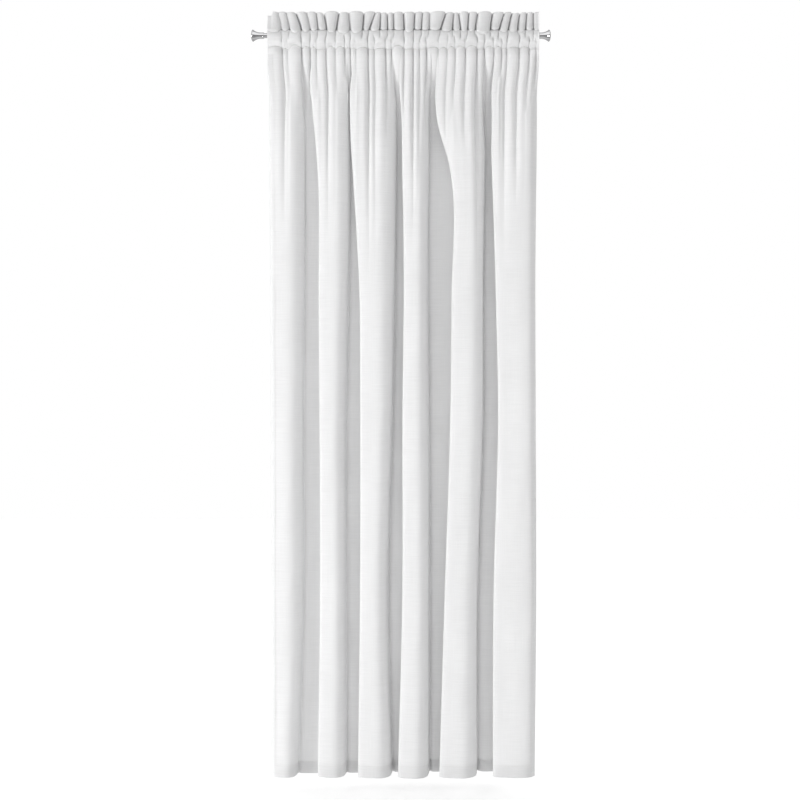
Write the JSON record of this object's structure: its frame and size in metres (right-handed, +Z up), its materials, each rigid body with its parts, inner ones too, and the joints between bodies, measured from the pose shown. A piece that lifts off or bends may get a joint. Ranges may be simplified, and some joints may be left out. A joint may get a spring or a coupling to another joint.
{
  "type": "curtain panel",
  "caption": "Gathered rod-pocket curtain panel with a standing frill, hanging in soft vertical folds from a slim round rod with trumpet finials.",
  "frame": {"origin": "middle of the rod, on its axis, where the rod is held up", "axes": "+X along the rod to the viewer's right, -Y out of the curtain's front, +Z up"},
  "size_m": [0.981, 0.0931, 2.5],
  "materials": {
    "cloth": "matte white plain weave with fine slubs",
    "thread": "white polyester sewing thread",
    "label": "blank white satin tape",
    "chrome": "polished",
    "screw": "plain zinc"
  },
  "bodies": {
    "rod": {"rod_tube": "chrome"},
    "left_finial": {"finial_left": "chrome", "grub_screw_left": "screw"},
    "right_finial": {"finial_right": "chrome", "grub_screw_right": "screw"},
    "panel": {"drop_cloth": "cloth", "frill_front": "cloth", "frill_back": "cloth", "pocket_front": "cloth", "pocket_back": "cloth", "heading_allowance": "cloth", "bottom_hem": "cloth", "side_hem_left": "cloth", "side_thread_left": "thread", "frill_seam_thread": "thread", "pocket_seam_thread": "thread", "bottom_hem_thread": "thread", "care_label": "label"},
    "leading_edge": {"side_hem_right": "cloth", "side_thread_right": "thread"}
  },
  "joints": [
    {"name": "panel_swing", "type": "hinge", "parent": "rod", "child": "panel", "pos_m": [0, 0, 0], "axis": [1, 0, 0], "range_deg": [-15, 15]},
    {"name": "panel_draw", "type": "slide", "parent": "panel", "child": "leading_edge", "axis": [-1, 0, 0], "range_m": [0, 0.5328], "deforming": ["drop_cloth", "frill_front", "frill_back", "pocket_front", "pocket_back", "heading_allowance", "bottom_hem", "frill_seam_thread", "pocket_seam_thread", "bottom_hem_thread"]},
    {"name": "finial_left_pull", "type": "slide", "parent": "rod", "child": "left_finial", "axis": [-1, 0, 0], "range_m": [0, 0.03]},
    {"name": "finial_right_pull", "type": "slide", "parent": "rod", "child": "right_finial", "axis": [1, 0, 0], "range_m": [0, 0.03]}
  ]
}
